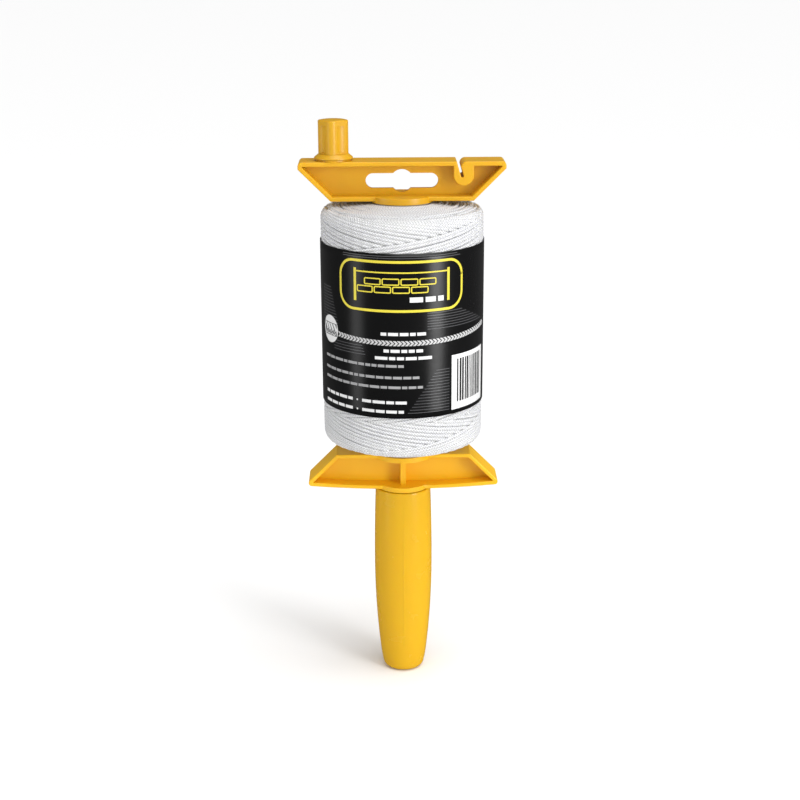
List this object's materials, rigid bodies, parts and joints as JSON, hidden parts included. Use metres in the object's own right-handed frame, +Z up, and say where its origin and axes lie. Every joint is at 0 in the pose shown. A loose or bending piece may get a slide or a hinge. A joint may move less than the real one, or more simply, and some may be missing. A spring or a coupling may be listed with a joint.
{
  "type": "mason line reel",
  "caption": "Hand-held reel for braided mason line: barrel handle, lower wing, wound roll with label sleeve, and a pull-off upper wing with hang slot, line notch and crank knob.",
  "frame": {"origin": "lowest point of the handle, on the spin axis", "axes": "+Z up the spin axis from the handle to the crank knob, X along the wings, Y from the front to the back"},
  "size_m": [0.0886, 0.0714, 0.2561],
  "materials": {
    "handle_plastic": "gloss moulded yellow polypropylene",
    "wing_plastic": "semi-gloss moulded yellow polypropylene",
    "knob_plastic": "semi-gloss moulded yellow polypropylene",
    "spindle_plastic": "natural extruded plastic",
    "core_paper": "spiral-wound paper",
    "line_nylon": "braided white nylon line, wound",
    "label_film": "printed gloss film"
  },
  "bodies": {
    "handle": {"handle_grip": "handle_plastic"},
    "reel_base": {"lower_wing": "wing_plastic", "spindle_tube": "spindle_plastic"},
    "line_roll": {"core_tube": "core_paper", "wound_line": "line_nylon", "label_sleeve": "label_film"},
    "reel_top": {"upper_wing": "wing_plastic"},
    "crank": {"crank_knob": "knob_plastic"}
  },
  "joints": [
    {"name": "reel_spin", "type": "hinge", "parent": "handle", "child": "reel_base", "pos_m": [0, 0, 0.0903], "axis": [0, 0, 1], "continuous": true},
    {"name": "roll_lift", "type": "slide", "parent": "reel_base", "child": "line_roll", "axis": [0, 0, 1], "range_m": [0, 0.115]},
    {"name": "top_lift", "type": "slide", "parent": "reel_base", "child": "reel_top", "axis": [0, 0, 1], "range_m": [0, 0.23]},
    {"name": "knob_spin", "type": "hinge", "parent": "reel_top", "child": "crank", "pos_m": [-0.0292, 0, 0.2395], "axis": [0, 0, 1], "continuous": true}
  ],
  "couplings": [
    {"joint": "top_lift", "follows": "roll_lift", "ratio": 2}
  ]
}
